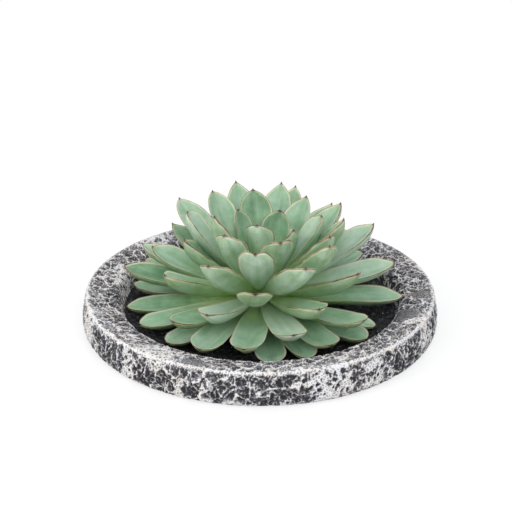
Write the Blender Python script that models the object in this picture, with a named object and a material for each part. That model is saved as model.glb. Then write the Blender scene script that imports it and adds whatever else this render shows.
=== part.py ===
"""Echeveria rosette planted in a shallow round dish of cast lava-textured stone.

Three kinds of piece: the dish, the potting soil in it, and the plant, which is a short domed stem
carrying fleshy spoon-shaped leaves. Each leaf is a separate solid whose foot stands square to the
stem's dome. Units are metres, +Z is up, and the origin is the centre of the dish's flat underside.
"""

import math

import bmesh
import bpy

MM = 0.001

# Dish
DISH_RADIUS = 125.0 * MM        # widest point of the bulging side, so the dish is 250 mm across
DISH_HEIGHT = 25.0 * MM         # outer corner of the rim, before it is rounded off
RIM_INNER_RADIUS = 99.6 * MM    # corner at the mouth of the dish
RIM_INNER_HEIGHT = 20.5 * MM    # the rim slopes down towards the mouth
FLOOR_THICKNESS = 5.0 * MM
FLOOR_RADIUS = 93.0 * MM
DISH_SIDES = 72

# Soil
SOIL_GAP = 0.4 * MM             # clearance between the soil and the dish or the stem
SOIL_EDGE_HEIGHT = 11.0 * MM
SOIL_HOLLOW_HEIGHT = 7.2 * MM   # the soil lies lowest below the spreading leaves
SOIL_MOUND_HEIGHT = 11.6 * MM
SOIL_SIDES = 48

# Stem: a short round column that ends in a dome
STEM_RADIUS = 11.0 * MM
STEM_FOOT_HEIGHT = 6.5 * MM
DOME_START_HEIGHT = 18.0 * MM
DOME_HEIGHT = 14.0 * MM
STEM_SIDES = 24

# Leaf, as a fraction u of its length from foot (0) to tip (1) and s across it from -1 to 1
LEAF_GAP = 0.35 * MM            # clearance between a leaf's foot and the dome
WIDEST_AT = 0.70
BLADE_END = 0.975               # past here the blade closes into its small point
FOOT_WIDTH = 0.18               # of the greatest width
TIP_UPTURN = 26.0               # degrees that the last quarter curls up
LEAF_STATIONS = (0.0, 0.13, 0.28, 0.44, 0.58, 0.71, 0.83, 0.93, 0.975)
UPPER_SECTION = (-1.0, -0.55, 0.0, 0.55, 1.0)
LOWER_SECTION = (0.6, 0.0, -0.6)

# How a leaf's size and curl follow its rise above level, in degrees: old leaves lie low and long
RISE_STEPS = (0.0, 30.0, 60.0, 90.0)
LENGTH_AT_RISE = (90.0, 88.0, 66.0, 34.0)
WIDTH_AT_RISE = (22.5, 24.0, 23.5, 19.0)
THICKNESS_AT_RISE = (4.8, 4.8, 4.4, 3.6)
CURL_AT_RISE = (4.0, 16.0, 20.0, 24.0)

# The leaves of each tier, going round the stem. The bearing is 0 at the front and 90 at the right.
# bearing, rise, length against the usual, roll about the midrib, width against the usual
OUTER_LEAVES = (
    (5, -3, 0.94, 0, 0.95),
    (13, 8.5, 0.97),
    (28, 2, 0.97),
    (43, 8, 1.01, -2),
    (47, -1.5, 0.96),
    (62, -3.5, 0.88, 0, 0.70),
    (84, 0.5, 1.01, 6),
    (124, 5, 0.91),
    (152, 8, 0.98),
    (188, 4, 0.98),
    (243, 3, 0.95),
    (262, 0, 0.91, -4, 0.95),
    (281, -2, 0.94, -2),
    (300, -1, 0.93, -2, 0.95),
    (318, -3, 0.90, 0, 0.95),
    (319, 6.5, 0.87),
    (336, 1, 0.96, -4),
    (354, 4, 0.99),
)
MIDDLE_LEAVES = (
    (24, 33, 0.91, -12),
    (26, 16, 0.91, -3),
    (52, 24, 0.91, -8),
    (92, 12, 0.98, 8),
    (101, 28, 0.95, 4),
    (122, 18, 0.87),
    (140, 25.5, 0.94),
    (161, 30, 0.98),
    (169, 15, 0.98),
    (184, 24, 0.97),
    (207, 12, 0.97),
    (224, 27, 1.00, -3),
    (230, 18, 0.90),
    (249, 13, 0.95, -2),
    (264, 21.5, 0.82, -8),
    (272, 12, 0.98, -6),
    (301, 22, 0.80, 5),
    (330, 34, 0.85, 10),
    (336, 13.5, 0.86, 4),
    (358, 24, 0.90),
)
INNER_LEAVES = (
    (20, 53, 0.79),
    (41, 39, 0.99, -9),
    (58.5, 44, 0.87, -14),
    (87, 43.5, 0.91, -10),
    (101, 50, 0.81),
    (116, 40, 0.93),
    (138, 48, 0.88),
    (146, 64, 0.78, 0, 1.05),
    (166, 40, 0.96),
    (188, 58, 0.93),
    (195, 38, 0.98),
    (220, 47, 0.93, 0, 0.92),
    (240, 73, 0.97),
    (264, 48, 0.90),
    (280, 39, 0.72, 4),
    (292, 61, 0.93, 5),
    (326, 53, 0.87, 6),
    (348, 79, 0.99),
    (357, 42, 0.90),
)


def clear_scene():
    """Remove every object that is already in the scene."""
    for old in list(bpy.data.objects):
        bpy.data.objects.remove(old, do_unlink=True)


def material(name, hex_colour, roughness):
    """A plain non-metallic Principled material from an sRGB hex colour."""
    channels = [int(hex_colour[i:i + 2], 16) / 255 for i in (0, 2, 4)]
    linear = [c / 12.92 if c <= 0.04045 else ((c + 0.055) / 1.055) ** 2.4 for c in channels]
    made = bpy.data.materials.new(name)
    made.use_nodes = True
    shader = made.node_tree.nodes["Principled BSDF"]
    shader.inputs["Base Color"].default_value = (*linear, 1.0)
    shader.inputs["Roughness"].default_value = roughness
    shader.inputs["Metallic"].default_value = 0.0
    return made


def add_piece(name, shape, surface, crease):
    """Turn a finished bmesh into a named, smooth-shaded object with its material."""
    bmesh.ops.recalc_face_normals(shape, faces=shape.faces)
    mesh = bpy.data.meshes.new(name)
    shape.to_mesh(mesh)
    shape.free()
    mesh.shade_smooth()
    mesh.set_sharp_from_angle(angle=math.radians(crease))
    mesh.materials.append(surface)
    piece = bpy.data.objects.new(name, mesh)
    bpy.context.collection.objects.link(piece)
    return piece


def blend(value, steps, results):
    """Straight-line blend through a short row of steps, held level past both ends."""
    if value <= steps[0]:
        return results[0]
    for low, high, start, end in zip(steps, steps[1:], results, results[1:]):
        if value <= high:
            return start + (end - start) * (value - low) / (high - low)
    return results[-1]


def rounded_outline(corners, steps=4):
    """Outline through (radius, height, rounding) corners, each rounded by a short curve."""
    outline = [corners[0][:2]]
    for before, corner, after in zip(corners, corners[1:], corners[2:]):
        ends = []
        for other in (before, after):
            reach = math.dist(corner[:2], other[:2])
            share = corner[2] / reach
            ends.append([c + (o - c) * share for c, o in zip(corner[:2], other[:2])])
        for step in range(steps + 1):
            t = step / steps
            weights = ((1 - t) ** 2, 2 * t * (1 - t), t ** 2)
            points = (ends[0], corner, ends[1])
            outline.append([sum(w * p[axis] for w, p in zip(weights, points)) for axis in (0, 1)])
    outline.append(corners[-1][:2])
    return outline


def lathe(outline, sides):
    """Spin an outline of (radius, height) points, which starts and ends on the axis."""
    shape = bmesh.new()
    points = [shape.verts.new((radius, 0.0, height)) for radius, height in outline]
    lines = [shape.edges.new(pair) for pair in zip(points, points[1:])]
    bmesh.ops.spin(
        shape,
        geom=points + lines,
        cent=(0.0, 0.0, 0.0),
        axis=(0.0, 0.0, 1.0),
        angle=math.tau,
        steps=sides,
        use_merge=True,
    )
    bmesh.ops.remove_doubles(shape, verts=shape.verts, dist=0.001 * MM)
    return shape


def make_dish():
    """Thick-walled cast dish with a flat underside, a bulging side and a rim that slopes inwards."""
    corners = [
        (0.0, 0.0, 0.0),
        (DISH_RADIUS - 0.5 * MM, 0.0, 5.0 * MM),
        (DISH_RADIUS + 0.2 * MM, 0.4 * DISH_HEIGHT, 4.0 * MM),
        (DISH_RADIUS - 3.2 * MM, DISH_HEIGHT, 4.0 * MM),
        (RIM_INNER_RADIUS, RIM_INNER_HEIGHT, 3.0 * MM),
        (FLOOR_RADIUS, FLOOR_THICKNESS, 2.0 * MM),
        (0.0, FLOOR_THICKNESS, 0.0),
    ]
    return lathe(rounded_outline(corners), DISH_SIDES)


def make_soil():
    """Bed of potting soil with a socket for the stem and a shallow hollow under the leaves."""
    under = FLOOR_THICKNESS + SOIL_GAP
    socket_radius = STEM_RADIUS + SOIL_GAP
    wall_lean = (RIM_INNER_RADIUS - FLOOR_RADIUS) / (RIM_INNER_HEIGHT - FLOOR_THICKNESS)
    edge_radius = FLOOR_RADIUS + wall_lean * (SOIL_EDGE_HEIGHT - FLOOR_THICKNESS) - SOIL_GAP
    outline = [
        (0.0, under),
        (FLOOR_RADIUS - 2.0 * MM, under),
        (edge_radius, SOIL_EDGE_HEIGHT),
        (edge_radius - 7.0 * MM, SOIL_EDGE_HEIGHT - 0.6 * MM),
        (78.0 * MM, SOIL_HOLLOW_HEIGHT + 0.4 * MM),
        (68.0 * MM, SOIL_HOLLOW_HEIGHT),
        (50.0 * MM, SOIL_HOLLOW_HEIGHT + 0.6 * MM),
        (24.0 * MM, SOIL_MOUND_HEIGHT - 1.2 * MM),
        (socket_radius, SOIL_MOUND_HEIGHT),
        (socket_radius, STEM_FOOT_HEIGHT - SOIL_GAP),
        (0.0, STEM_FOOT_HEIGHT - SOIL_GAP),
    ]
    return lathe(outline, SOIL_SIDES)


def make_stem():
    """Short stem standing in the soil's socket, its top a dome that carries the leaves."""
    outline = [(0.0, STEM_FOOT_HEIGHT), (STEM_RADIUS, STEM_FOOT_HEIGHT)]
    dome_steps = 6
    for step in range(dome_steps + 1):
        turn = 0.5 * math.pi * step / dome_steps
        outline.append((
            STEM_RADIUS * math.cos(turn) if step < dome_steps else 0.0,
            DOME_START_HEIGHT + DOME_HEIGHT * math.sin(turn),
        ))
    return lathe(outline, STEM_SIDES)


def half_width(u):
    """Spoon outline: narrow at the foot, widest at WIDEST_AT, blunt end, then a tiny point."""
    point_start = 0.972
    point_width = 0.05
    if u > point_start:
        return point_width * (1 - u) / (1 - point_start)
    if u < WIDEST_AT:
        return FOOT_WIDTH + (1 - FOOT_WIDTH) * math.sin(0.5 * math.pi * (u / WIDEST_AT) ** 1.5)
    t = (u - WIDEST_AT) / (BLADE_END - WIDEST_AT)
    return max((1 - t ** 2.6) ** 0.66, point_width)


def leaf_shape(bearing, rise, length=1.0, roll=0.0, width=1.0):
    """Sizes and placing of one leaf, in metres and radians."""
    curl = blend(rise, RISE_STEPS, CURL_AT_RISE)
    return {
        "bearing": math.radians(bearing),
        "lean": rise - 0.5 * curl,
        "curl": curl,
        "roll": math.radians(roll),
        "length": blend(rise, RISE_STEPS, LENGTH_AT_RISE) * MM * length,
        "half_width": 0.5 * blend(rise, RISE_STEPS, WIDTH_AT_RISE) * MM * width,
        "thickness": blend(rise, RISE_STEPS, THICKNESS_AT_RISE) * MM,
    }


def slope_at(leaf, u):
    """Angle of the midrib above level, in radians."""
    upturn = max(u - 0.72, 0.0) / 0.28
    return math.radians(leaf["lean"] + leaf["curl"] * u + TIP_UPTURN * upturn ** 2)


def midrib(leaf, u, steps=80):
    """Radius and height of the midrib at u, followed in short steps from the dome."""
    lean = math.radians(leaf["lean"])
    around = math.atan2(DOME_HEIGHT * math.sin(lean), STEM_RADIUS * math.cos(lean))
    radius = STEM_RADIUS * math.cos(around) + LEAF_GAP * math.cos(lean)
    height = DOME_START_HEIGHT + DOME_HEIGHT * math.sin(around) + LEAF_GAP * math.sin(lean)
    stride = leaf["length"] * u / steps
    for step in range(steps):
        slope = slope_at(leaf, u * (step + 0.5) / steps)
        radius += stride * math.cos(slope)
        height += stride * math.sin(slope)
    return radius, height


def leaf_ring(leaf, u):
    """Points round the leaf at u: the channelled upper face, then the keeled lower face."""
    half = leaf["half_width"] * half_width(u)
    channel = blend(u, (0.0, 0.3, 0.7, 0.9, 1.0), (0.12, 0.24, 0.28, 0.24, 0.10))
    flesh = blend(u, (0.0, 0.15, 0.4, 0.7, 0.9, 0.97, 1.0), (0.34, 0.56, 0.93, 0.95, 0.5, 0.22, 0.0))
    radius, height = midrib(leaf, u)
    slope = slope_at(leaf, u)
    bearing = leaf["bearing"]
    roll = leaf["roll"]
    ring = []
    for s, is_lower in [(s, False) for s in UPPER_SECTION] + [(s, True) for s in LOWER_SECTION]:
        across = half * s
        up = channel * half * abs(s) ** 1.4
        if is_lower:
            up -= leaf["thickness"] * flesh * (1 - abs(s) ** 1.9)
        across, up = (
            across * math.cos(roll) - up * math.sin(roll),
            across * math.sin(roll) + up * math.cos(roll),
        )
        out = radius - up * math.sin(slope)
        ring.append((
            out * math.sin(bearing) + across * math.cos(bearing),
            -out * math.cos(bearing) + across * math.sin(bearing),
            height + up * math.cos(slope),
        ))
    return ring


def make_leaf(leaf):
    """Wrap a flat grid round the leaf's rings, draw its last row to the tip and close its foot."""
    rings = [leaf_ring(leaf, u) for u in LEAF_STATIONS]
    tip = leaf_ring(leaf, 1.0)[0]
    columns = len(rings[0])
    rows = len(rings)
    shape = bmesh.new()
    bmesh.ops.create_grid(shape, x_segments=columns, y_segments=rows, size=1.0)
    for vert in shape.verts:
        column = round((vert.co.x + 1) * 0.5 * columns)
        row = round((vert.co.y + 1) * 0.5 * rows)
        vert.co = tip if row == rows else rings[row][column % columns]
    bmesh.ops.remove_doubles(shape, verts=shape.verts, dist=0.001 * MM)
    foot = [edge for edge in shape.edges if edge.is_boundary]
    bmesh.ops.contextual_create(shape, geom=foot)
    return shape


def build():
    clear_scene()
    add_piece("dish", make_dish(), material("cast_lava_stone", "8f8d8b", 0.9), 50)
    add_piece("soil", make_soil(), material("potting_soil", "2a2624", 1.0), 50)
    add_piece("stem", make_stem(), material("green_stem", "7c9a6a", 0.6), 50)
    tiers = (
        ("outer_leaf", OUTER_LEAVES, material("outer_leaf_skin", "8fb08a", 0.5)),
        ("middle_leaf", MIDDLE_LEAVES, material("middle_leaf_skin", "95b793", 0.5)),
        ("inner_leaf", INNER_LEAVES, material("inner_leaf_skin", "9abb98", 0.5)),
    )
    for tier, leaves, skin in tiers:
        for number, placing in enumerate(leaves, start=1):
            leaf = leaf_shape(*placing)
            add_piece(f"{tier}_{number:02d}", make_leaf(leaf), skin, 60)


build()
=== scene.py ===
"""Looks of the potted echeveria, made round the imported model, from the dish up to the heart leaves."""

import math
import random

import bmesh
import bpy
import numpy as np
from mathutils import Matrix, Vector, noise


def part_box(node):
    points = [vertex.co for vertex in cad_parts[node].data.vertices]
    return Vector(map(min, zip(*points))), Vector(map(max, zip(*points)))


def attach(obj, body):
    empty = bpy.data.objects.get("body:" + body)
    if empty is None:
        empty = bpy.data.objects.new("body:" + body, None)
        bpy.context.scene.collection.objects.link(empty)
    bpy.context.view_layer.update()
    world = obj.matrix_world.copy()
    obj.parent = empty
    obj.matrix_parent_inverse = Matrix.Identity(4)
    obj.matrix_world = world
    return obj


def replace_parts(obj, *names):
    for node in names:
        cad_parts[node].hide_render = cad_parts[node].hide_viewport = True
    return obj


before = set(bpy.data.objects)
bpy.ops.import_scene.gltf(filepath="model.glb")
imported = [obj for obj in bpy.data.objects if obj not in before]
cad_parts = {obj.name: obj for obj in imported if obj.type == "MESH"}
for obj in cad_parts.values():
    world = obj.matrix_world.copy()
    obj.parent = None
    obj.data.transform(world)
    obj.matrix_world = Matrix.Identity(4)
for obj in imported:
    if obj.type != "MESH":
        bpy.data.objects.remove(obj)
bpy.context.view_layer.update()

# ---------------------------------------------------------------------------------------------
# Camera: a long portrait lens, a little above the rim, looking down over the front of the dish.
# The aim is lifted so that the plant stands just below the middle of the view.
MM = 0.001
LOOK_DOWN = math.radians(26.68)      # from the lens to the point below
LOOK_POINT = Vector((0.0, 0.0, 13.0 * MM))
LENS_DISTANCE = 0.850
AIM_LIFT = math.radians(2.09)
AIM_LEFT = math.radians(0.21)
LENS_LENGTH = 84.3                   # millimetres on a 36 mm sensor

camera_data = bpy.data.cameras.new("camera")
camera_data.lens = LENS_LENGTH
camera_data.sensor_width = 36.0
camera_data.clip_start = 0.01
camera = bpy.data.objects.new("camera", camera_data)
bpy.context.scene.collection.objects.link(camera)
back_off = Vector((0.0, -math.cos(LOOK_DOWN), math.sin(LOOK_DOWN)))
camera.location = LOOK_POINT + back_off * LENS_DISTANCE
camera.rotation_euler = (0.5 * math.pi - LOOK_DOWN + AIM_LIFT, 0.0, AIM_LEFT)
bpy.context.scene.camera = camera
bpy.context.scene.view_settings.view_transform = "Standard"

# ---------------------------------------------------------------------------------------------
# Floor and studio light: a plain pale sweep under a big soft overhead source on the left, with
# weaker fill from the front and the right. Anything that looks straight at the floor or the
# surroundings sees plain white.


def linear(hex_colour):
    """Linear RGBA from an sRGB hex colour."""
    channels = [int(hex_colour[i:i + 2], 16) / 255 for i in (0, 2, 4)]
    return [c / 12.92 if c <= 0.04045 else ((c + 0.055) / 1.055) ** 2.4 for c in channels] + [1.0]


def add_node(tree, kind, inputs=None, ramp=None, **settings):
    """Add a node; inputs are sockets to link or values to set, ramp is (place, value) stops."""
    made = tree.nodes.new(kind)
    for name, value in settings.items():
        setattr(made, name, value)
    for name, value in (inputs or {}).items():
        if isinstance(value, bpy.types.NodeSocket):
            tree.links.new(value, made.inputs[name])
        else:
            made.inputs[name].default_value = value
    for index, (place, value) in enumerate(ramp or ()):
        stops = made.color_ramp.elements
        stop = stops[index] if index < len(stops) else stops.new(place)
        stop.position = place
        stop.color = linear(value) if isinstance(value, str) else (value, value, value, 1.0)
    return made


def white_rays(tree):
    """1 for rays that look straight, in a mirror or through glass at the surroundings, else 0."""
    kinds = add_node(tree, "ShaderNodeLightPath").outputs
    seen = add_node(tree, "ShaderNodeMath", {0: kinds["Is Camera Ray"], 1: kinds["Is Glossy Ray"]},
                    operation="MAXIMUM").outputs[0]
    return add_node(tree, "ShaderNodeMath", {0: seen, 1: kinds["Is Transmission Ray"]},
                    operation="MAXIMUM").outputs[0]


WORLD_STRENGTH = 0.90
world = bpy.data.worlds.new("studio")
world.use_nodes = True
world.node_tree.nodes.clear()
dim = add_node(world.node_tree, "ShaderNodeBackground",
               {"Color": linear("f4f6f8"), "Strength": WORLD_STRENGTH}).outputs[0]
world_white = add_node(world.node_tree, "ShaderNodeBackground", {"Color": (1, 1, 1, 1), "Strength": 1.0})
both = add_node(world.node_tree, "ShaderNodeMixShader",
                {0: white_rays(world.node_tree), 1: dim, 2: world_white.outputs[0]})
add_node(world.node_tree, "ShaderNodeOutputWorld", {"Surface": both.outputs[0]})
bpy.context.scene.world = world

LAMP_AIM = Vector((0.0, 0.0, 30.0 * MM))


def soft_lamp(name, place, size, watts, colour):
    """A square area lamp aimed at the middle of the plant."""
    data = bpy.data.lights.new(name, "AREA")
    data.size = size
    data.energy = watts
    data.color = linear(colour)[:3]
    lamp = bpy.data.objects.new(name, data)
    bpy.context.scene.collection.objects.link(lamp)
    lamp.location = place
    lamp.rotation_euler = (LAMP_AIM - lamp.location).to_track_quat("-Z", "Y").to_euler()


soft_lamp("key_lamp", Vector((-0.95, -0.60, 0.70)), 0.6, 5.5, "fffaf2")
soft_lamp("front_fill", Vector((0.25, -0.95, 0.95)), 0.9, 6.3, "f8faff")
soft_lamp("top_light", Vector((0.1, 0.25, 1.1)), 0.8, 2.0, "ffffff")

floor_mesh = bpy.data.meshes.new("floor")
floor_shape = bmesh.new()
bmesh.ops.create_grid(floor_shape, x_segments=1, y_segments=1, size=3.0)
floor_shape.to_mesh(floor_mesh)
floor_shape.free()
floor = bpy.data.objects.new("floor", floor_mesh)
bpy.context.scene.collection.objects.link(floor)
floor_paint = bpy.data.materials.new("pale_floor")
floor_paint.use_nodes = True
floor_paint.node_tree.nodes.clear()
tree = floor_paint.node_tree
floor_base = add_node(tree, "ShaderNodeBsdfDiffuse", {"Color": linear("f2f2f2")}).outputs[0]
floor_place = add_node(tree, "ShaderNodeTexCoord").outputs["Object"]
from_dish = add_node(tree, "ShaderNodeVectorMath", {0: floor_place}, operation="LENGTH").outputs["Value"]
whiteness = add_node(tree, "ShaderNodeMapRange", {"Value": from_dish, "From Min": 0.12, "From Max": 0.40,
                                                  "To Min": 0.72}).outputs["Result"]
whiteness = add_node(tree, "ShaderNodeMath", {0: whiteness, 1: white_rays(tree)},
                     operation="MULTIPLY").outputs[0]
floor_white = add_node(tree, "ShaderNodeEmission", {"Color": (1, 1, 1, 1), "Strength": 1.0}).outputs[0]
floor_mix = add_node(tree, "ShaderNodeMixShader", {0: whiteness, 1: floor_base, 2: floor_white})
add_node(tree, "ShaderNodeOutputMaterial", {"Surface": floor_mix.outputs[0]})
floor_mesh.materials.append(floor_paint)

# ---------------------------------------------------------------------------------------------
# Dish: one casting of light mineral mix, made in a mould taken from pitted lava rock. The open
# pits hold a charcoal wash, and the ridges between them are rubbed back to a chalky greige.
DISH_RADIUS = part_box("dish")[1].x
DISH_RISE = 25.0 * MM                # outer corner of the rim, before it is rounded off
MOUTH_RADIUS = 99.6 * MM
MOUTH_HEIGHT = 20.5 * MM
FLOOR_RADIUS = 93.0 * MM
FLOOR_HEIGHT = 5.0 * MM
DISH_GRAIN = 0.80 * MM               # spacing of the mesh, fine enough to shape the pits
DISH_SIDES = 900
PIT_DEPTH = 1.5 * MM
BIG_CELL = 7.0 * MM                  # the three sizes of pit, one inside the other
MIDDLE_CELL = 3.6 * MM
SMALL_CELL = 2.4 * MM
PIT_SQUEEZE = 0.78                   # how wide a pit is against its height
FINE_BEND = 3.0 * MM                 # the pits' walls wander over these lengths, by these amounts
FINE_SWAY = 1.7 * MM
BROAD_BEND = 9.0 * MM
BROAD_SWAY = 5.0 * MM
WORN_PATCH = 17.0 * MM               # patches where the relief thins out
CAST_GRAIN = 1.4 * MM                # grain of the casting itself
GRAIN_BUMP = 0.6 * MM
WEB_CELL = 1.9 * MM                  # fine ridges inside a pit, too small for the mesh
WEB_BEND = 3.0 * MM
WEB_SWAY = 1.6 * MM
WARM_PATCH = 13.0 * MM               # warmer and cooler patches of the wash
RIDGE_RADIUS = DISH_RADIUS - 3.4 * MM  # the rubbed outer edge of the rim
RIDGE_HEIGHT = 23.6 * MM
WORN_COUNT = 12                      # places rubbed nearly smooth, with their sizes in millimetres
WORN_SIZES = (6.0, 15.0)
POOLED_COUNT = 5                     # places where the wash pooled
POOLED_SIZES = (5.0, 11.0)
SPOT_RADII = (104.0, 117.0)          # where such places lie on the rim, in millimetres
SPOT_HEIGHTS = (9.0, 16.0)           # and on the side
RIM_SHARE = 0.6                      # how many of them lie on the rim
MERGE_DISTANCE = 0.001 * MM


def rounded_outline(corners, steps):
    """Outline through (radius, height, rounding) corners, each rounded by a short curve."""
    outline = [Vector(corners[0][:2])]
    for before, corner, after in zip(corners, corners[1:], corners[2:]):
        middle = Vector(corner[:2])
        start = middle + (Vector(before[:2]) - middle).normalized() * corner[2]
        end = middle + (Vector(after[:2]) - middle).normalized() * corner[2]
        for step in range(steps + 1):
            t = step / steps
            outline.append(start.lerp(middle, t).lerp(middle.lerp(end, t), t))
    outline.append(Vector(corners[-1][:2]))
    return outline


def even_outline(outline, spacing):
    """The same outline with points at an even spacing."""
    lengths = [0.0]
    for a, b in zip(outline, outline[1:]):
        lengths.append(lengths[-1] + (b - a).length)
    count = max(round(lengths[-1] / spacing), 1)
    places = np.linspace(0.0, lengths[-1], count + 1)
    across = np.interp(places, lengths, [p.x for p in outline])
    upward = np.interp(places, lengths, [p.y for p in outline])
    return [Vector((r, z)) for r, z in zip(across, upward)]


def lathe(outline, sides):
    """Wrap a grid round the axis along an outline of (radius, height) points that starts and ends on it."""
    shape = bmesh.new()
    rows = len(outline) - 1
    bmesh.ops.create_grid(shape, x_segments=sides, y_segments=rows, size=1.0)
    for vert in shape.verts:
        turn = math.tau * (round((vert.co.x + 1) * 0.5 * sides) % sides) / sides
        point = outline[round((vert.co.y + 1) * 0.5 * rows)]
        vert.co = (point.x * math.cos(turn), point.x * math.sin(turn), point.y)
    bmesh.ops.remove_doubles(shape, verts=shape.verts, dist=MERGE_DISTANCE)
    bmesh.ops.recalc_face_normals(shape, faces=shape.faces)
    return shape


def finish_piece(name, shape, surface, crease=60):
    """Make a smooth-shaded object that rides on the root body from a finished bmesh."""
    mesh = bpy.data.meshes.new(name)
    shape.to_mesh(mesh)
    shape.free()
    mesh.shade_smooth()
    mesh.set_sharp_from_angle(angle=math.radians(crease))
    mesh.materials.append(surface)
    piece = bpy.data.objects.new(name, mesh)
    bpy.context.scene.collection.objects.link(piece)
    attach(piece, "root")
    return piece


def smooth_step(low, high, value):
    """0 below low, 1 above high and a smooth S between them."""
    t = min(max((value - low) / (high - low), 0.0), 1.0)
    return t * t * (3.0 - 2.0 * t)


def lattice_dice(cells, salt):
    """Three random numbers from 0 to 1 for every whole-numbered (x, y, z) cell."""
    whole = cells.astype(np.int64) + 4096
    mixed = (whole[..., 0] * 73856093) ^ (whole[..., 1] * 19349663) ^ (whole[..., 2] * 83492791)
    mixed = (mixed[..., None] + (salt + np.arange(3)) * 40503017) & 0xFFFFFFFF
    for shift, factor in ((16, 0x7FEB352D), (15, 0x046CA68B), (16, 1)):
        mixed = ((mixed ^ (mixed >> shift)) * factor) & 0xFFFFFFFF
    return mixed / 2.0 ** 32


def cell_pattern(place, size, salt):
    """Distance to the wall of the nearest cell, in millimetres, and that cell's random number."""
    scaled = place / size
    base = np.floor(scaled)
    near = np.full(len(place), 9.0)
    second = near.copy()
    owner = np.zeros(len(place))
    for step in np.ndindex(3, 3, 3):
        cell = base + np.array(step) - 1
        dice = lattice_dice(cell, salt)
        distance = np.linalg.norm(cell + dice - scaled, axis=1)
        closer = distance < near
        second = np.where(closer, near, np.minimum(second, distance))
        owner = np.where(closer, dice[:, 0], owner)
        near = np.where(closer, distance, near)
    return (second - near) * 0.5 * size / MM, owner


def lattice_noise(place, size, salt):
    """Three smooth noises from 0 to 1 at every place."""
    scaled = place / size
    base = np.floor(scaled)
    t = scaled - base
    t = t * t * (3 - 2 * t)
    total = np.zeros((len(place), 3))
    for corner in np.ndindex(2, 2, 2):
        weight = np.prod(np.where(np.array(corner) > 0, t, 1 - t), axis=1)
        total += weight[:, None] * lattice_dice(base + np.array(corner), salt)
    return total


def rise_between(low, high, values):
    """0 below low, 1 above high and a straight line between them."""
    return np.clip((values - low) / (high - low), 0.0, 1.0)


def scattered_spots(count, sizes, seed):
    """Spots in millimetres, strewn evenly over the rim and the side: bearing, radius, height, size."""
    spot_dice = random.Random(seed)
    spots = []
    for number in range(count):
        bearing = 360.0 * (number + spot_dice.random()) / count
        on_rim = spot_dice.random() < RIM_SHARE
        radius = spot_dice.uniform(*SPOT_RADII) if on_rim else DISH_RADIUS / MM
        height = DISH_RISE / MM - 1.0 if on_rim else spot_dice.uniform(*SPOT_HEIGHTS)
        spots.append((bearing, radius, height, spot_dice.uniform(*sizes)))
    return spots


def nearness(place, spots):
    """How far a place lies inside any of the (bearing, radius, height, size) spots, from 0 to 1."""
    found = np.zeros(len(place))
    for bearing, radius, height, size in spots:
        turn = math.radians(bearing)
        centre = np.array((radius * math.sin(turn), -radius * math.cos(turn), height)) * MM
        distance = np.linalg.norm(place - centre, axis=1) / MM
        found = np.maximum(found, 1 - rise_between(size * 0.75, size * 1.1, distance))
    return found


def lava_relief(place):
    """Depth of the lava relief at every place, from 0 on the ridges to 1 in the deepest pits."""
    bent = place + (lattice_noise(place, FINE_BEND, 1) - 0.5) * FINE_SWAY
    bent += (lattice_noise(place, BROAD_BEND, 2) - 0.5) * BROAD_SWAY
    worn = nearness(bent, scattered_spots(WORN_COUNT, WORN_SIZES, 24))
    pooled = nearness(bent, scattered_spots(POOLED_COUNT, POOLED_SIZES, 22))
    bent[:, 2] *= PIT_SQUEEZE
    patches = lattice_noise(place, WORN_PATCH, 3)
    big_wall, big_dice = cell_pattern(bent, BIG_CELL, 11)
    mid_wall, mid_dice = cell_pattern(bent, MIDDLE_CELL, 12)
    small_wall, small_dice = cell_pattern(bent, SMALL_CELL, 13)
    big = rise_between(0.05, 0.42, big_wall)
    middle = rise_between(0.02, 0.26, mid_wall) * (0.6 + 0.4 * mid_dice)
    small = rise_between(0.01, 0.18, small_wall) * (0.5 + 0.5 * small_dice)
    mixture = np.where(big_dice > 0.5, middle, 0.4 * middle + 0.6 * small)
    pitted = big * np.maximum(mixture, 0.22)
    specks = 0.10 + 0.6 * rise_between(0.10, 0.30, small_wall) * (small_dice > 0.62)
    worn = np.maximum(worn, rise_between(0.74, 0.80, patches[:, 0]))
    depth = pitted * (1 - worn) + specks * worn
    return depth * (1 - pooled) + pooled * np.maximum(0.52, 0.6 * depth)


dish_corners = [
    (0.0, 0.0, 0.0),
    (DISH_RADIUS - 0.5 * MM, 0.0, 5.0 * MM),
    (DISH_RADIUS + 0.2 * MM, 0.4 * DISH_RISE, 4.0 * MM),
    (DISH_RADIUS - 3.2 * MM, DISH_RISE, 4.0 * MM),
    (MOUTH_RADIUS, MOUTH_HEIGHT, 3.0 * MM),
    (FLOOR_RADIUS, FLOOR_HEIGHT, 2.0 * MM),
    (0.0, FLOOR_HEIGHT, 0.0),
]
dish_outline = rounded_outline(dish_corners, 6)
skin_start = 1                                        # where the underside meets the rounded edge
skin_end = len(dish_outline) - 2                      # where the wall meets the floor
skin = even_outline(dish_outline[skin_start:skin_end + 1], DISH_GRAIN)
underside = [Vector((skin[0].x * share, 0.0)) for share in (0.0, 0.3, 0.6, 0.85, 0.96)]
inside_floor = [Vector((skin[-1].x * share, FLOOR_HEIGHT)) for share in (0.9, 0.5, 0.0)]
dish_shape = lathe(underside + skin + inside_floor, DISH_SIDES)
pit_layer = dish_shape.verts.layers.float.new("pit")
dish_shape.normal_update()
skin_verts = [v for v in dish_shape.verts if v.co.xy.length > skin[-1].x
              and not (v.co.z < 0.01 * MM and v.co.xy.length < skin[0].x)]
skin_places = np.array([v.co for v in skin_verts])
skin_depths = lava_relief(skin_places)
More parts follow.
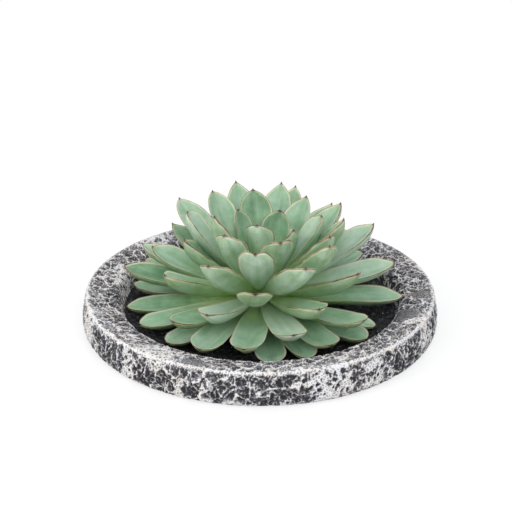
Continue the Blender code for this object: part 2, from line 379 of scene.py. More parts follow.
# The outer edge of the rim was rubbed harder, so a pale ridge runs round it
edge_distance = np.hypot(np.linalg.norm(skin_places[:, :2], axis=1) - RIDGE_RADIUS,
                         skin_places[:, 2] - RIDGE_HEIGHT) / MM
on_side = 1 - rise_between(19.0 * MM, 24.0 * MM, skin_places[:, 2])
skin_depths *= 0.66 + 0.45 * on_side
skin_depths *= 0.15 + 0.85 * rise_between(0.4, 2.4, edge_distance)
foot_share = 0.3 + 0.7 * rise_between(0.0, 4.0 * MM, skin_places[:, 2])
for vert, depth, share in zip(skin_verts, skin_depths.tolist(), foot_share.tolist()):
    vert[pit_layer] = depth
    vert.co -= vert.normal * depth * PIT_DEPTH * share
    vert.co.z = max(vert.co.z, 0.0)

lava = bpy.data.materials.new("rubbed_cast_lava")
lava.use_nodes = True
tree = lava.node_tree
shader = tree.nodes["Principled BSDF"]
object_place = add_node(tree, "ShaderNodeTexCoord").outputs["Object"]
pit = add_node(tree, "ShaderNodeAttribute", attribute_name="pit").outputs["Fac"]
grain = add_node(tree, "ShaderNodeTexNoise",
                 {"Vector": object_place, "Scale": 1 / CAST_GRAIN, "Detail": 4.0,
                  "Roughness": 0.65}).outputs["Fac"]
bend = add_node(tree, "ShaderNodeTexNoise",
                {"Vector": object_place, "Scale": 1 / WEB_BEND}).outputs["Color"]
bend = add_node(tree, "ShaderNodeVectorMath", {0: bend, 1: (WEB_SWAY, WEB_SWAY, WEB_SWAY)},
                operation="MULTIPLY").outputs[0]
bend = add_node(tree, "ShaderNodeVectorMath", {0: bend, 1: object_place}, operation="ADD").outputs[0]
webs = add_node(tree, "ShaderNodeTexVoronoi", {"Vector": bend, "Scale": 1 / WEB_CELL},
                feature="DISTANCE_TO_EDGE").outputs["Distance"]
webs = add_node(tree, "ShaderNodeMapRange", {"Value": webs, "From Min": 0.04, "From Max": 0.20,
                                             "To Min": -0.17, "To Max": 0.06}).outputs["Result"]
depth = add_node(tree, "ShaderNodeMath", {0: pit, 1: webs}, operation="ADD").outputs[0]
depth = add_node(tree, "ShaderNodeMath", {0: grain, 1: 0.34, 2: depth}, operation="MULTIPLY_ADD").outputs[0]
wash = add_node(tree, "ShaderNodeValToRGB", {"Fac": depth}, ramp=(
    (0.15, "e0dedd"), (0.27, "b2b0b0"), (0.42, "7e7d80"), (0.58, "545458"), (0.85, "2d2d31")))
warm = add_node(tree, "ShaderNodeTexNoise",
                {"Vector": object_place, "Scale": 1 / WARM_PATCH, "Detail": 2.0}).outputs["Fac"]
tint = add_node(tree, "ShaderNodeValToRGB", {"Fac": warm}, ramp=((0.40, "f8f9fb"), (0.65, "f8f5f1")))
tinted = add_node(tree, "ShaderNodeMix", {0: 1.0, 6: wash.outputs["Color"], 7: tint.outputs["Color"]},
                  data_type="RGBA", blend_type="MULTIPLY")
tree.links.new(tinted.outputs[2], shader.inputs["Base Color"])
shader.inputs["Roughness"].default_value = 0.88
shader.inputs["Specular IOR Level"].default_value = 0.25
tooth = add_node(tree, "ShaderNodeBump", {"Height": grain, "Strength": 0.35, "Distance": GRAIN_BUMP})
tree.links.new(tooth.outputs["Normal"], shader.inputs["Normal"])

dish = finish_piece("cast_dish", dish_shape, lava, 80)
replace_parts(dish, "dish")

# ---------------------------------------------------------------------------------------------
# Soil: a bed of dark, damp potting mix of peat and bark fines, pressed down by hand, with loose
# crumbs on it and a few pale grains of grit.
SOIL_LOW, SOIL_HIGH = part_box("soil")
STEM_LOW, STEM_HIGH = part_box("stem")
STEM_RADIUS = STEM_HIGH.x
SOIL_EDGE_HEIGHT = 11.0 * MM
SOIL_HOLLOW_HEIGHT = 7.2 * MM
SOIL_MOUND_HEIGHT = 11.6 * MM
SOCKET_GAP = 0.4 * MM                # between the soil and the stem
SOIL_SPACING = 1.2 * MM              # spacing of the mesh
SOIL_SIDES = 420
LUMP_SIZE = 6.0 * MM
LUMP_HEIGHT = 0.55 * MM
CRUMB_GRAIN = 3.0 * MM
CRUMB_BUMP = 1.0 * MM

soil_mix = bpy.data.materials.new("damp_potting_mix")
soil_mix.use_nodes = True
tree = soil_mix.node_tree
shader = tree.nodes["Principled BSDF"]
object_place = add_node(tree, "ShaderNodeTexCoord").outputs["Object"]
crumb_noise = add_node(tree, "ShaderNodeTexNoise",
                       {"Vector": object_place, "Scale": 1 / CRUMB_GRAIN, "Detail": 5.0,
                        "Roughness": 0.7}).outputs["Fac"]
soil_tone = add_node(tree, "ShaderNodeValToRGB", {"Fac": crumb_noise}, ramp=(
    (0.34, "0d0e0e"), (0.5, "202122"), (0.60, "37393b"), (0.72, "6c6f72")))
tree.links.new(soil_tone.outputs["Color"], shader.inputs["Base Color"])
shader.inputs["Roughness"].default_value = 0.95
shader.inputs["Specular IOR Level"].default_value = 0.2
crumb_bump = add_node(tree, "ShaderNodeBump",
                      {"Height": crumb_noise, "Strength": 0.6, "Distance": CRUMB_BUMP})
tree.links.new(crumb_bump.outputs["Normal"], shader.inputs["Normal"])

SOIL_RADII = (STEM_RADIUS + SOCKET_GAP, 24.0 * MM, 50.0 * MM, 68.0 * MM, 78.0 * MM,
              SOIL_HIGH.x - 7.0 * MM, SOIL_HIGH.x)
SOIL_HEIGHTS = (SOIL_MOUND_HEIGHT, SOIL_MOUND_HEIGHT - 1.2 * MM, SOIL_HOLLOW_HEIGHT + 0.6 * MM,
                SOIL_HOLLOW_HEIGHT, SOIL_HOLLOW_HEIGHT + 0.4 * MM,
                SOIL_EDGE_HEIGHT - 0.6 * MM, SOIL_EDGE_HEIGHT)


def soil_height(radius):
    """Level of the soil's surface at a distance from the stem."""
    return float(np.interp(radius, SOIL_RADII, SOIL_HEIGHTS))


soil_top = [Vector((r, soil_height(r))) for r in np.arange(SOIL_HIGH.x, SOIL_RADII[0], -SOIL_SPACING)]
soil_outline = [Vector((0.0, SOIL_LOW.z)), Vector((FLOOR_RADIUS - 2.0 * MM, SOIL_LOW.z))] + soil_top
soil_outline += [Vector((SOIL_RADII[0], SOIL_MOUND_HEIGHT)), Vector((SOIL_RADII[0], STEM_LOW.z - SOCKET_GAP)),
                 Vector((0.0, STEM_LOW.z - SOCKET_GAP))]
soil_shape = lathe(soil_outline, SOIL_SIDES)
for vert in soil_shape.verts:
    reach = math.hypot(vert.co.x, vert.co.y)
    if vert.co.z > SOIL_HOLLOW_HEIGHT - 1.0 * MM and reach > STEM_RADIUS + 2.0 * MM:
        rough = noise.fractal(vert.co / LUMP_SIZE, 0.7, 2.1, 4)
        vert.co.z += LUMP_HEIGHT * rough * smooth_step(0.0, 2.0 * MM, SOIL_HIGH.x - reach)
soil = finish_piece("potting_soil_bed", soil_shape, soil_mix, 80)
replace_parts(soil, "soil")

# Loose crumbs of bark and peat, and a few grains of pale grit, lying on the bed.
CRUMB_COUNT = 1700
GRIT_EVERY = 22                      # one crumb in this many is a grain of grit
CRUMB_DENT = 0.8 * MM
GRIT_FLECK = 4.0 * MM
dice = random.Random(11)
noise.seed_set(11)                   # without it the dents would differ from run to run
crumbs = bmesh.new()
grit = bmesh.new()
for count in range(CRUMB_COUNT):
    is_grit = count % GRIT_EVERY == 0
    radius = math.sqrt(dice.uniform(0.12, 1.0)) * (SOIL_HIGH.x - 2.0 * MM)
    bearing = dice.uniform(0.0, math.tau)
    half = dice.uniform(0.35, 0.7) * MM if is_grit else dice.uniform(0.4, 1.5) * MM
    place = Vector((radius * math.sin(bearing), -radius * math.cos(bearing),
                    soil_height(radius) + 0.2 * half))
    turn = Matrix.Rotation(dice.uniform(0, math.tau), 4, "Z")
    turn = turn @ Matrix.Rotation(dice.uniform(0, math.tau), 4, "X")
    stretch = Matrix.Diagonal((dice.uniform(0.9, 1.5), dice.uniform(0.7, 1.0), dice.uniform(0.45, 0.8), 1.0))
    target = grit if is_grit else crumbs
    made = bmesh.ops.create_icosphere(target, subdivisions=1, radius=half,
                                      matrix=Matrix.Translation(place) @ turn @ stretch)
    for vert in made["verts"]:
        vert.co += noise.noise_vector(vert.co / CRUMB_DENT) * half * 0.45
finish_piece("loose_soil_crumbs", crumbs, soil_mix, 30)

pale_grit = bpy.data.materials.new("pale_quartz_grit")
pale_grit.use_nodes = True
tree = pale_grit.node_tree
shader = tree.nodes["Principled BSDF"]
object_place = add_node(tree, "ShaderNodeTexCoord").outputs["Object"]
grit_noise = add_node(tree, "ShaderNodeTexNoise",
                      {"Vector": object_place, "Scale": 1 / GRIT_FLECK}).outputs["Fac"]
grit_tone = add_node(tree, "ShaderNodeValToRGB", {"Fac": grit_noise}, ramp=(
    (0.35, "6e625e"), (0.5, "a8958f"), (0.62, "cfc4be")))
tree.links.new(grit_tone.outputs["Color"], shader.inputs["Base Color"])
shader.inputs["Roughness"].default_value = 0.7
finish_piece("grit_grains", grit, pale_grit, 30)

# ---------------------------------------------------------------------------------------------
# Stem: a short fleshy column under the rosette, green above and corky brown at the soil. The
# frame's solid has the right shape, so it stays and only gets its bark.
BARK_GRAIN = 3.3 * MM
stem_bark = bpy.data.materials.new("young_succulent_bark")
stem_bark.use_nodes = True
tree = stem_bark.node_tree
shader = tree.nodes["Principled BSDF"]
object_place = add_node(tree, "ShaderNodeTexCoord").outputs["Object"]
height = add_node(tree, "ShaderNodeSeparateXYZ", {"Vector": object_place}).outputs["Z"]
height = add_node(tree, "ShaderNodeMapRange",
                  {"Value": height, "From Min": STEM_LOW.z, "From Max": STEM_HIGH.z}).outputs["Result"]
bark_noise = add_node(tree, "ShaderNodeTexNoise",
                      {"Vector": object_place, "Scale": 1 / BARK_GRAIN, "Detail": 4.0}).outputs["Fac"]
mixed = add_node(tree, "ShaderNodeMath", {0: bark_noise, 1: 0.4, 2: height},
                 operation="MULTIPLY_ADD").outputs[0]
bark_tone = add_node(tree, "ShaderNodeValToRGB", {"Fac": mixed}, ramp=(
    (0.3, "5b4a36"), (0.6, "6f7f45"), (1.0, "86a860")))
tree.links.new(bark_tone.outputs["Color"], shader.inputs["Base Color"])
shader.inputs["Roughness"].default_value = 0.7
stem_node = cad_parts["stem"]
stem_node.data.materials.clear()
stem_node.data.materials.append(stem_bark)

# ---------------------------------------------------------------------------------------------
# Leaves: thick, water-filled spoons in grey-green, with a bloom of wax on the faces, a pale
# margin that ends in a thin red-brown edge, and a small dark point. Old leaves lie low and long,
# young ones stand upright round the heart. Each takes its place and size from the frame's leaf.
DOME_START = 18.0 * MM
DOME_RISE = STEM_HIGH.z - DOME_START
LEAF_GAP = 0.35 * MM
FOOT_REACH = 4.0 * MM                # what lies this near the dome's end of a leaf is its foot
BLADE_END = 0.982                    # where the blade stops and the thin point begins
FOOT_WIDTH = 0.40
UPTURN_FROM = 0.74                   # where the end of the blade begins to turn up
MIDRIB_STEPS = 120
MARGIN_WAVER = 22.0 * MM
WAX_BLOTCH = 7.7 * MM
EDGE_WEAR = 6.2 * MM
FLESH_SCATTER = 4.0 * MM             # how deep light runs into the flesh
GREATEST_BOW = 1.6 * MM              # how far a blade bows to one side at its middle
GREATEST_RIPPLE = 0.7 * MM           # how far a margin waves up and down
RISE_STEPS = (0.0, 30.0, 60.0, 90.0)
LENGTH_AT_RISE = (90.0, 88.0, 66.0, 34.0)
WIDTH_AT_RISE = (22.5, 24.0, 23.5, 19.0)
THICKNESS_AT_RISE = (4.8, 6.4, 6.0, 4.4)
CURL_AT_RISE = (4.0, 16.0, 20.0, 24.0)

# What sets a leaf apart: how blunt its end is, how far the end turns up in degrees, how hollow the
# face is, and how thick its wax lies. That wax amount is partly real wax and partly painted light and
# shade: it lightens leaves that stand in the shadow of others and darkens some with painted shade.
# Three leaves also have a notch by the point, its depth given in millimetres, and two of those are
# widest farther out and have a rounder hollow.
LEAF_TRAITS = {
    "outer_leaf_01": dict(blunt=1.2, upturn=26),
    "outer_leaf_02": dict(blunt=1.3, upturn=34, cup=0.6, wax_and_shading=0.9),
    "outer_leaf_03": dict(blunt=1.3, upturn=30, cup=0.6),
    "outer_leaf_04": dict(blunt=1.1, upturn=30, cup=0.6),
    "outer_leaf_05": dict(blunt=0.9, upturn=32, wax_and_shading=-0.3),
    "outer_leaf_06": dict(blunt=0.7, upturn=20),
    "outer_leaf_07": dict(blunt=0.2, upturn=22, cup=1.4, wax_and_shading=0.2),
    "outer_leaf_08": dict(blunt=0.3),
    "outer_leaf_09": dict(blunt=0.2),
    "outer_leaf_10": dict(blunt=0.2),
    "outer_leaf_11": dict(blunt=0.2),
    "outer_leaf_12": dict(blunt=0.3, upturn=34),
    "outer_leaf_13": dict(blunt=0.5, wax_and_shading=-0.4),
    "outer_leaf_14": dict(blunt=0.7, upturn=32),
    "outer_leaf_15": dict(blunt=0.9, upturn=24, cup=0.8),
    "outer_leaf_16": dict(blunt=0.8, upturn=34, cup=0.8, wax_and_shading=-0.1),
    "outer_leaf_17": dict(blunt=1.1, upturn=34, wax_and_shading=0.2),
    "outer_leaf_18": dict(blunt=1.2, upturn=34, wax_and_shading=0.2),
    "middle_leaf_01": dict(blunt=0.8, wax_and_shading=0.5),
    "middle_leaf_02": dict(blunt=1.0, upturn=32),
    "middle_leaf_03": dict(blunt=0.9, cup=0.7),
    "middle_leaf_04": dict(blunt=0.3, cup=1.4, wax_and_shading=0.7),
    "middle_leaf_05": dict(blunt=0.3, wax_and_shading=0.7),
    "middle_leaf_10": dict(blunt=0.2),
    "middle_leaf_12": dict(blunt=0.4, wax_and_shading=0.3),
    "middle_leaf_15": dict(blunt=0.4, upturn=34, wax_and_shading=0.1),
    "middle_leaf_16": dict(blunt=0.4, upturn=34, wax_and_shading=-0.7),
    "middle_leaf_17": dict(blunt=0.6, upturn=32),
    "middle_leaf_18": dict(blunt=0.7, wax_and_shading=0.3),
    "middle_leaf_19": dict(blunt=1.1, upturn=32, wax_and_shading=1.0),
    "middle_leaf_20": dict(widest=0.68, blunt=1.2, upturn=4, cup=0.2, fold=1.7, notch=5.0),
    "inner_leaf_01": dict(blunt=0.8, upturn=10, notch=1.4, wax_and_shading=0.2),
    "inner_leaf_02": dict(blunt=0.8, cup=0.6),
    "inner_leaf_03": dict(blunt=0.8, cup=0.6),
    "inner_leaf_05": dict(blunt=0.4, wax_and_shading=0.5),
    "inner_leaf_08": dict(blunt=0.3, wax_and_shading=-0.6),
    "inner_leaf_09": dict(wax_and_shading=0.1),
    "inner_leaf_10": dict(blunt=0.4, cup=1.3, wax_and_shading=-0.6),
    "inner_leaf_12": dict(blunt=0.5, cup=1.4, wax_and_shading=0.2),
    "inner_leaf_14": dict(blunt=0.8, wax_and_shading=0.7),
    "inner_leaf_17": dict(blunt=0.7, wax_and_shading=0.3),
    "inner_leaf_18": dict(blunt=1.0, cup=1.6, wax_and_shading=0.3),
    "inner_leaf_19": dict(widest=0.68, blunt=1.2, upturn=8, cup=0.2, fold=1.7, notch=3.6, wax_and_shading=0.6),
}

# Leaves packed between the ones above: tier, bearing round the stem, rise above level, length and
# width against the usual, and how blunt the end is
PACKED_LEAVES = (
    ("inner_leaf", 76, 64, 0.70, 1.0, 0.6),
    ("outer_leaf", 20, -1, 0.93, 0.9, 0.9),
    ("outer_leaf", 140, 1, 0.93, 1.0, 0.3),
    ("outer_leaf", 170, 1, 0.95, 1.0, 0.3),
    ("outer_leaf", 203, -1, 0.93, 0.9, 0.3),
    ("outer_leaf", 216, 2, 0.92, 0.9, 0.3),
    ("outer_leaf", 229, -1, 0.93, 0.9, 0.3),
    ("inner_leaf", 36, 72, 0.58, 0.7, 0.5),
    ("inner_leaf", 112, 79, 0.62, 0.8, 0.3),
    ("inner_leaf", 196, 80, 0.60, 0.75, 0.3),
    ("inner_leaf", 290, 79, 0.62, 0.75, 0.3),
)


def frame_place(node_name):
    """Where a leaf of the frame grows and how big it is, worked out from its foot, tip and margins."""
    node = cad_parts[node_name]
    points = np.array([node.matrix_world @ vert.co for vert in node.data.vertices])
    points = np.unique(points.round(6), axis=0)       # each corner once, however it is triangulated
    from_dome = np.linalg.norm(points - np.array((0.0, 0.0, DOME_START)), axis=1)
    foot = points[from_dome < from_dome.min() + FOOT_REACH].mean(axis=0)
    tip = points[from_dome.argmax()]
    middle = points.mean(axis=0)
    bearing = math.atan2(middle[0], -middle[1])
    outward = np.array((math.sin(bearing), -math.cos(bearing), 0.0))
    sideways = np.array((math.cos(bearing), math.sin(bearing), 0.0))
    across = points @ sideways
    margins = points[across.argmax()] - points[across.argmin()]
    rise = math.atan2(tip[2] - foot[2], (tip - foot) @ outward)
    return dict(bearing=bearing, rise=rise, reach=float(np.linalg.norm(tip - foot)),
                half=0.5 * float(np.hypot(margins @ sideways, margins[2])),
                roll=math.atan2(margins[2], (margins @ sideways) * math.cos(rise)),
                foot_radius=float(foot @ outward), foot_height=float(foot[2]))


def usual_place(bearing, rise, length, width):
    """The same facts for a leaf of the usual size, which grows from the stem's dome."""
    lean = math.radians(rise)
    around = math.atan2(DOME_RISE * math.sin(lean), STEM_RADIUS * math.cos(lean))
    return dict(bearing=math.radians(bearing), rise=lean, roll=0.0,
                reach=float(np.interp(rise, RISE_STEPS, LENGTH_AT_RISE)) * MM * length,
                half=0.5 * float(np.interp(rise, RISE_STEPS, WIDTH_AT_RISE)) * MM * width,
                foot_radius=STEM_RADIUS * math.cos(around) + LEAF_GAP * math.cos(lean),
                foot_height=DOME_START + DOME_RISE * math.sin(around) + LEAF_GAP * math.sin(lean))


class Leaf:
    """Sizes and placing of one leaf, in metres and radians, and the points of its skin."""

    def __init__(self, place, dice, widest=0.64, blunt=0.0, upturn=26.0, cup=1.15, fold=1.08,
                 notch=0.0, wax_and_shading=0.0):
        self.bearing = place["bearing"]
        self.rise = math.degrees(place["rise"])
        self.roll = place["roll"]
        self.half = place["half"]
        self.curl = float(np.interp(self.rise, RISE_STEPS, CURL_AT_RISE))
        self.thickness = float(np.interp(self.rise, RISE_STEPS, THICKNESS_AT_RISE)) * MM
        self.keel = float(np.interp(self.rise, (28.0, 42.0), (2.1, 1.4)))
        self.widest = widest + 0.10 * blunt
        self.blunt = blunt
        self.upturn = upturn
        self.cup = cup
        self.fold = fold
        self.notch = notch
        self.wax_and_shading = wax_and_shading
        self.bow = dice.uniform(-GREATEST_BOW, GREATEST_BOW)
        self.ripple = dice.uniform(0.3, 1.0) * GREATEST_RIPPLE
        self.ripple_start = dice.random()
        self.follow_midrib(place)

    def half_width(self, u):
        """Outline as a share of the greatest half width: an arrow-head, or blunt-ended."""
        near = FOOT_WIDTH + (1 - FOOT_WIDTH) * np.sin(0.5 * np.pi * np.clip(u / self.widest, 0, 1) ** 1.2)
        t = np.clip((u - self.widest) / (BLADE_END - self.widest), 0, 1)
        far = (1 - t ** (2.3 + 1.0 * self.blunt)) ** (0.78 - 0.28 * self.blunt)
        point = 0.06 * np.clip((1 - u) / (1 - BLADE_END), 0, 1) ** 0.7
        return np.where(u < self.widest, near, np.maximum(far, point))

    def slope(self, u):
        """Angle of the midrib above level, in radians."""
        end = np.clip((u - UPTURN_FROM) / (1 - UPTURN_FROM), 0, 1)
        return self.lean + np.radians(self.curl * u + self.upturn * end ** 1.7)

    def follow_midrib(self, place):
        """Walk along the midrib in short steps, turned and sized to run from the foot to the tip."""
        self.lean = 0.0
        self.places = np.linspace(0.0, 1.0, MIDRIB_STEPS + 1)
        middle = 0.5 * (self.places[1:] + self.places[:-1])
        outward, upward = np.cos(self.slope(middle)).mean(), np.sin(self.slope(middle)).mean()
        self.lean = place["rise"] - math.atan2(upward, outward)
        self.length = place["reach"] / math.hypot(outward, upward)
        stride = self.length / MIDRIB_STEPS
        self.radii = place["foot_radius"] + np.append(0.0, np.cumsum(np.cos(self.slope(middle)))) * stride
        self.heights = place["foot_height"] + np.append(0.0, np.cumsum(np.sin(self.slope(middle)))) * stride

    def skin(self, u, s, is_lower):
        """Points of the skin at u along and s across, on the upper or the lower face."""
        half = self.half * self.half_width(u)
        channel = np.interp(u, (0.0, 0.25, 0.6, 0.88, 1.0), (0.10, 0.26, 0.34, 0.36, 0.15)) * self.cup
        flesh = np.interp(u, (0.0, 0.15, 0.4, 0.7, 0.88, 0.965, 1.0),
                          (0.34, 0.60, 0.95, 1.0, 0.70, 0.26, 0.0))
        across = half * s + self.bow * 4 * u * (1 - u)
        up = channel * half * np.abs(s) ** self.fold
        wave = np.sin(math.tau * (1.6 * u + self.ripple_start) + np.pi * (s > 0))
        up = up + self.ripple * wave * np.abs(s) ** 3 * np.clip(4 * u * (1 - u), 0, 1)
        up = up - is_lower * self.thickness * flesh * (1 - np.abs(s) ** (self.keel + 1.6 * u ** 3))
        across, up = (across * math.cos(self.roll) - up * math.sin(self.roll),
                      across * math.sin(self.roll) + up * math.cos(self.roll))
        slope = self.slope(u)
        lobe = np.sin(np.pi * np.abs(s * self.half_width(u)) ** 1.1) ** 1.2
        lobe = lobe * np.clip((u - 0.7) / 0.25, 0, 1) ** 2
        lobe = self.notch * MM * lobe
        out = np.interp(u, self.places, self.radii) - up * np.sin(slope) + lobe * np.cos(slope)
        height = np.interp(u, self.places, self.heights) + up * np.cos(slope) + lobe * np.sin(slope)
        sine, cosine = math.sin(self.bearing), math.cos(self.bearing)
        return np.stack([out * sine + across * cosine, -out * cosine + across * sine, height], -1)

    def margin_distance(self, u, s):
        """Distance in millimetres from a place on the blade to the nearest point of its outline."""
        line = np.linspace(0.3, 1.0, 240)
        along = (u[:, None] - line) * self.length
        across = (np.abs(s) * self.half_width(u))[:, None] * self.half - self.half * self.half_width(line)
        near = np.sqrt(along ** 2 + across ** 2).min(1)
        side = (1 - np.abs(s)) * self.half * self.half_width(u)
        return np.minimum(near, side) / MM


# Columns run across the upper face and back under the lower one, closer together at the margins.
upper = np.sin(np.linspace(-0.5, 0.5, 21) * np.pi)
lower = -np.sin(np.linspace(-0.5, 0.5, 15) * np.pi)[1:-1]
COLUMN_S = np.concatenate([upper, lower])
COLUMN_LOWER = np.concatenate([np.zeros(len(upper)), np.ones(len(lower))])
COLUMNS = len(COLUMN_S)
ROW_U = np.concatenate([np.linspace(0.0, UPTURN_FROM, 22)[:-1],
                        np.linspace(UPTURN_FROM, BLADE_END, 20)[:-1],
                        np.linspace(BLADE_END, 1.0, 6)])
ROWS = len(ROW_U) - 1


def leaf_shape(leaf, tone, height_tone):
    """Wrap a flat grid round the leaf's skin, draw its last row to the tip and close its foot."""
    shape = bmesh.new()
    bmesh.ops.create_grid(shape, x_segments=COLUMNS, y_segments=ROWS, size=1.0)
    layers = {name: shape.verts.layers.float.new(name)
              for name in ("along", "side", "edge", "tip", "lower", "tone", "youth", "wax_and_shading")}
    verts = list(shape.verts)
    columns = np.array([round((v.co.x + 1) * 0.5 * COLUMNS) % COLUMNS for v in verts])
    rows = np.array([round((v.co.y + 1) * 0.5 * ROWS) for v in verts])
    u = ROW_U[rows]
    s = COLUMN_S[columns]
    is_lower = COLUMN_LOWER[columns]
    points = leaf.skin(u, s, is_lower)
    edge = leaf.margin_distance(u, s)
    tip = np.hypot((1 - u) * leaf.length, s * leaf.half * leaf.half_width(u)) / MM
    for vert, point, *values in zip(verts, points, u, s, edge, tip, is_lower):
        vert.co = point
        for name, value in zip(layers, (*values, tone, height_tone, leaf.wax_and_shading)):
            vert[layers[name]] = value
    bmesh.ops.remove_doubles(shape, verts=shape.verts, dist=MERGE_DISTANCE)
    foot = [e for e in shape.edges if e.is_boundary]
    bmesh.ops.contextual_create(shape, geom=foot)
    bmesh.ops.recalc_face_normals(shape, faces=shape.faces)
    return shape


leaf_skin = bpy.data.materials.new("waxy_succulent_skin")
leaf_skin.use_nodes = True
tree = leaf_skin.node_tree
shader = tree.nodes["Principled BSDF"]
object_place = add_node(tree, "ShaderNodeTexCoord").outputs["Object"]
along, side, edge, tip, below, tone, youth, wax_and_shading = [
    add_node(tree, "ShaderNodeAttribute", attribute_name=name).outputs["Fac"]
    for name in ("along", "side", "edge", "tip", "lower", "tone", "youth", "wax_and_shading")]

edge_waver = add_node(tree, "ShaderNodeTexNoise",
                      {"Vector": object_place, "Scale": 1 / MARGIN_WAVER}).outputs["Fac"]
blotches = add_node(tree, "ShaderNodeTexNoise",
                    {"Vector": object_place, "Scale": 1 / WAX_BLOTCH, "Detail": 3.0,
                     "Roughness": 0.55}).outputs["Fac"]
edge_noise = add_node(tree, "ShaderNodeTexNoise",
                      {"Vector": object_place, "Scale": 1 / EDGE_WEAR, "Detail": 2.0}).outputs["Fac"]

# Faces: yellow-green where the leaf is hidden, grey-green farther out, fresher below. The yellow-green
# at the foot is partly the leaf's own colour and partly painted light, lightened to stand in for light
# that shines through the flesh into the shaded crevices between the feet.
upper_tone = add_node(tree, "ShaderNodeValToRGB", {"Fac": along}, ramp=(
    (0.0, "d0ec98"), (0.25, "b6d68e"), (0.45, "8eb488"), (0.75, "84a888"), (1.0, "93b292"))).outputs["Color"]
under_tone = add_node(tree, "ShaderNodeValToRGB", {"Fac": along}, ramp=(
    (0.0, "caea8c"), (0.3, "a2c47c"), (0.75, "86a476"), (1.0, "8da272"))).outputs["Color"]
young_under = add_node(tree, "ShaderNodeValToRGB", {"Fac": along}, ramp=(
    (0.0, "c6e488"), (0.3, "9cbe7c"), (0.75, "7e9e76"), (1.0, "869c78"))).outputs["Color"]
undersides = add_node(tree, "ShaderNodeMix", {0: youth, 6: under_tone, 7: young_under},
                      data_type="RGBA").outputs[2]
faces = add_node(tree, "ShaderNodeMix", {0: below, 6: upper_tone, 7: undersides}, data_type="RGBA").outputs[2]

# Wax: pale streaks along the leaf and soft blotches, thicker or rubbed off from leaf to leaf. The
# pale mix is partly wax and partly painted light on leaves that stand in shade, and the dark green mix
# is partly bare skin where wax is rubbed off and partly painted shade.
streak_place = add_node(tree, "ShaderNodeCombineXYZ", {"X": side, "Y": along, "Z": tone}).outputs[0]
streak_place = add_node(tree, "ShaderNodeVectorMath", {0: streak_place, 1: (1.3, 1.0, 37.0)},
                        operation="MULTIPLY").outputs[0]
streaks = add_node(tree, "ShaderNodeTexNoise",
                   {"Vector": streak_place, "Scale": 2.2, "Detail": 3.0, "Roughness": 0.5}).outputs["Fac"]
uneven = add_node(tree, "ShaderNodeMath", {0: streaks, 1: blotches}, operation="ADD").outputs[0]
uneven = add_node(tree, "ShaderNodeMapRange", {"Value": uneven, "From Min": 0.72, "From Max": 1.28,
                                               "To Min": -0.24, "To Max": 0.50}).outputs["Result"]
wax_and_light = add_node(tree, "ShaderNodeMath", {0: wax_and_shading, 1: 0.75, 2: uneven}, operation="MULTIPLY_ADD",
               use_clamp=True).outputs[0]
rubbed_and_shade = add_node(tree, "ShaderNodeMath", {0: wax_and_shading, 1: 0.75, 2: uneven}, operation="MULTIPLY_ADD").outputs[0]
rubbed_and_shade = add_node(tree, "ShaderNodeMath", {0: rubbed_and_shade, 1: -1.0}, operation="MULTIPLY",
                  use_clamp=True).outputs[0]
waxed_and_lit = add_node(tree, "ShaderNodeMix", {0: wax_and_light, 6: faces, 7: linear("b6c9b8")}, data_type="RGBA").outputs[2]
# Dark green: painted shade on leaves set below zero, as well as skin without wax
shaded = add_node(tree, "ShaderNodeMix", {0: rubbed_and_shade, 6: waxed_and_lit, 7: linear("4d7550")},
                  data_type="RGBA").outputs[2]

# Margin: a pale band, strongest on the far half of the leaf
rim_width = add_node(tree, "ShaderNodeMapRange",
                     {"Value": below, "To Min": 2.1, "To Max": 1.7}).outputs["Result"]
rim = add_node(tree, "ShaderNodeMath", {0: edge_waver, 1: 0.8, 2: edge}, operation="MULTIPLY_ADD").outputs[0]
rim = add_node(tree, "ShaderNodeMapRange", {"Value": rim, "From Min": rim_width, "From Max": 0.9,
                                            "To Max": 0.72}).outputs["Result"]
far_half = add_node(tree, "ShaderNodeMapRange", {"Value": along, "From Min": 0.3, "From Max": 0.7,
                                                 "To Min": 0.3}).outputs["Result"]
rim = add_node(tree, "ShaderNodeMath", {0: rim, 1: far_half}, operation="MULTIPLY").outputs[0]
banded = add_node(tree, "ShaderNodeMix", {0: rim, 6: shaded, 7: linear("d8ccb8")},
                  data_type="RGBA").outputs[2]

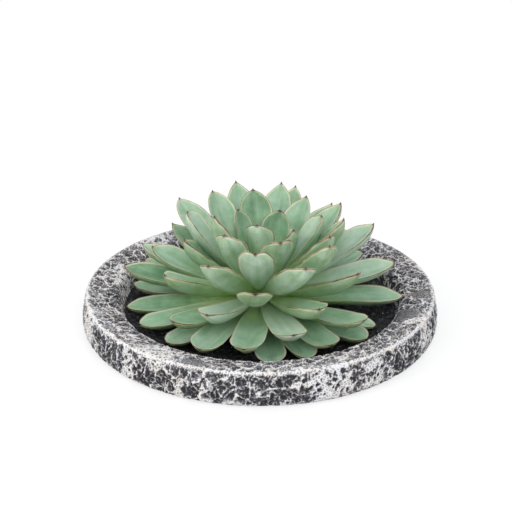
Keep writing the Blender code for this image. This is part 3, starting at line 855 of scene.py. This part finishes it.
# Red-brown line: it comes and goes along the far part of the margin
line_width = add_node(tree, "ShaderNodeMapRange",
                      {"Value": below, "To Min": 0.44, "To Max": 0.62}).outputs["Result"]
ragged = add_node(tree, "ShaderNodeMath", {0: edge_noise, 1: -0.8, 2: edge},
                  operation="MULTIPLY_ADD").outputs[0]
ragged = add_node(tree, "ShaderNodeMath", {0: ragged, 1: line_width}, operation="SUBTRACT").outputs[0]
line = add_node(tree, "ShaderNodeMapRange",
                {"Value": ragged, "From Min": -0.28, "From Max": -0.56}).outputs["Result"]
far_part = add_node(tree, "ShaderNodeMapRange", {"Value": along, "From Min": 0.38, "From Max": 0.72,
                                                 "To Min": 0.15}).outputs["Result"]
line = add_node(tree, "ShaderNodeMath", {0: line, 1: far_part}, operation="MULTIPLY").outputs[0]
fading = add_node(tree, "ShaderNodeMapRange", {"Value": edge_waver, "From Min": 0.35, "From Max": 0.6,
                                               "To Min": 0.6}).outputs["Result"]
line = add_node(tree, "ShaderNodeMath", {0: line, 1: fading}, operation="MULTIPLY").outputs[0]
line_tone = add_node(tree, "ShaderNodeValToRGB", {"Fac": blotches},
                     ramp=((0.42, "7e5546"), (0.58, "4c2f28"))).outputs["Color"]
lined = add_node(tree, "ShaderNodeMix", {0: line, 6: banded, 7: line_tone}, data_type="RGBA").outputs[2]

# Point: dark, and dry at the very end
at_point = add_node(tree, "ShaderNodeMapRange", {"Value": tip, "From Min": 3.0, "From Max": 1.5,
                                                 "To Max": 0.95}).outputs["Result"]
pointed = add_node(tree, "ShaderNodeMix", {0: at_point, 6: lined, 7: linear("4c2b26")},
                   data_type="RGBA").outputs[2]
tree.links.new(pointed, shader.inputs["Base Color"])
shader.inputs["Roughness"].default_value = 0.46
shader.inputs["Specular IOR Level"].default_value = 0.4
shader.inputs["Subsurface Weight"].default_value = 0.4
shader.inputs["Subsurface Radius"].default_value = (0.8, 1.0, 0.4)
shader.inputs["Subsurface Scale"].default_value = FLESH_SCATTER

tone_dice = random.Random(5)
growth_dice = random.Random(8)


def make_leaf(name, leaf):
    """Make one leaf with its own turn of the wax pattern."""
    shape = leaf_shape(leaf, tone_dice.random(), smooth_step(10.0, 40.0, leaf.rise))
    return finish_piece(name, shape, leaf_skin, 70)


for tier in ("outer_leaf", "middle_leaf", "inner_leaf"):
    for node_name in sorted(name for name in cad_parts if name.startswith(tier)):
        leaf = Leaf(frame_place(node_name), growth_dice, **LEAF_TRAITS.get(node_name, {}))
        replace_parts(make_leaf(f"fleshy_{node_name}", leaf), node_name)
for number, (tier, bearing, rise, length, width, blunt) in enumerate(PACKED_LEAVES, start=1):
    leaf = Leaf(usual_place(bearing, rise, length, width), growth_dice, blunt=blunt)
    make_leaf(f"packed_leaf_{number:02d}", leaf)
